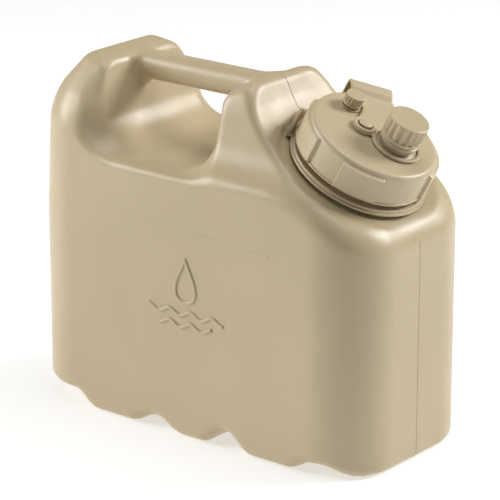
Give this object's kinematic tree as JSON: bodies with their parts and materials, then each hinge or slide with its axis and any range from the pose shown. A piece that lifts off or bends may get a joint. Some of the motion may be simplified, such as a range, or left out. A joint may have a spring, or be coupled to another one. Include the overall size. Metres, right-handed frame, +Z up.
{
  "type": "water can",
  "caption": "Rectangular plastic water can with a built-in tube handle, a wide leaning screw lid on a strap, a pouring spout cap and a vent cap.",
  "frame": {"origin": "centre of the can's footprint, on the flat of its middle foot", "axes": "+X towards the lid end, +Y to the left when looking along +X, +Z up; the marked side faces -Y"},
  "size_m": [0.3477, 0.165, 0.298],
  "materials": {
    "can_plastic": "blow-moulded, faintly waxy satin",
    "lid_plastic": "injection-moulded satin",
    "cap_plastic": "injection-moulded satin",
    "strap_plastic": "flexible, satin",
    "seal_rubber": "smooth"
  },
  "bodies": {
    "can": {"can_body": "can_plastic"},
    "gasket": {"lid_gasket": "seal_rubber"},
    "neck_ring": {"neck_ring": "strap_plastic"},
    "lid": {"lid": "lid_plastic", "lid_strap": "strap_plastic"},
    "spout_seal": {"spout_cap_seal": "seal_rubber"},
    "spout_cap": {"spout_cap": "cap_plastic"},
    "vent_seal": {"vent_cap_seal": "seal_rubber"},
    "vent_cap": {"vent_cap": "cap_plastic"}
  },
  "joints": [
    {"name": "closure_lift", "type": "slide", "parent": "can", "child": "gasket", "axis": [0.4787, 0, 0.878], "range_m": [0, 0.15]},
    {"name": "lid_turn", "type": "hinge", "parent": "gasket", "child": "neck_ring", "pos_m": [0.1284, 0, 0.263], "axis": [0.4787, 0, 0.878], "range_deg": [0, 630]},
    {"name": "lid_rise", "type": "slide", "parent": "neck_ring", "child": "lid", "axis": [0.4787, 0, 0.878], "range_m": [0, 0.0141]},
    {"name": "spout_cap_rise", "type": "slide", "parent": "lid", "child": "spout_seal", "axis": [0.4787, 0, 0.878], "range_m": [0, 0.0181]},
    {"name": "spout_cap_turn", "type": "hinge", "parent": "spout_seal", "child": "spout_cap", "pos_m": [0.14438, 0.0046, 0.25429], "axis": [0.4787, 0, 0.878], "range_deg": [0, 1440]},
    {"name": "vent_cap_rise", "type": "slide", "parent": "lid", "child": "vent_seal", "axis": [0.4787, 0, 0.878], "range_m": [0, 0.0075]},
    {"name": "vent_cap_turn", "type": "hinge", "parent": "vent_seal", "child": "vent_cap", "pos_m": [0.09907, 0.0055, 0.27899], "axis": [0.4787, 0, 0.878], "range_deg": [0, 1081]}
  ],
  "couplings": [
    {"joint": "lid_rise", "follows": "lid_turn", "m_per_rad": 0.0012732},
    {"joint": "spout_cap_rise", "follows": "spout_cap_turn", "m_per_rad": 0.0007162},
    {"joint": "vent_cap_turn", "follows": "vent_cap_rise", "rad_per_m": 2513.3}
  ]
}
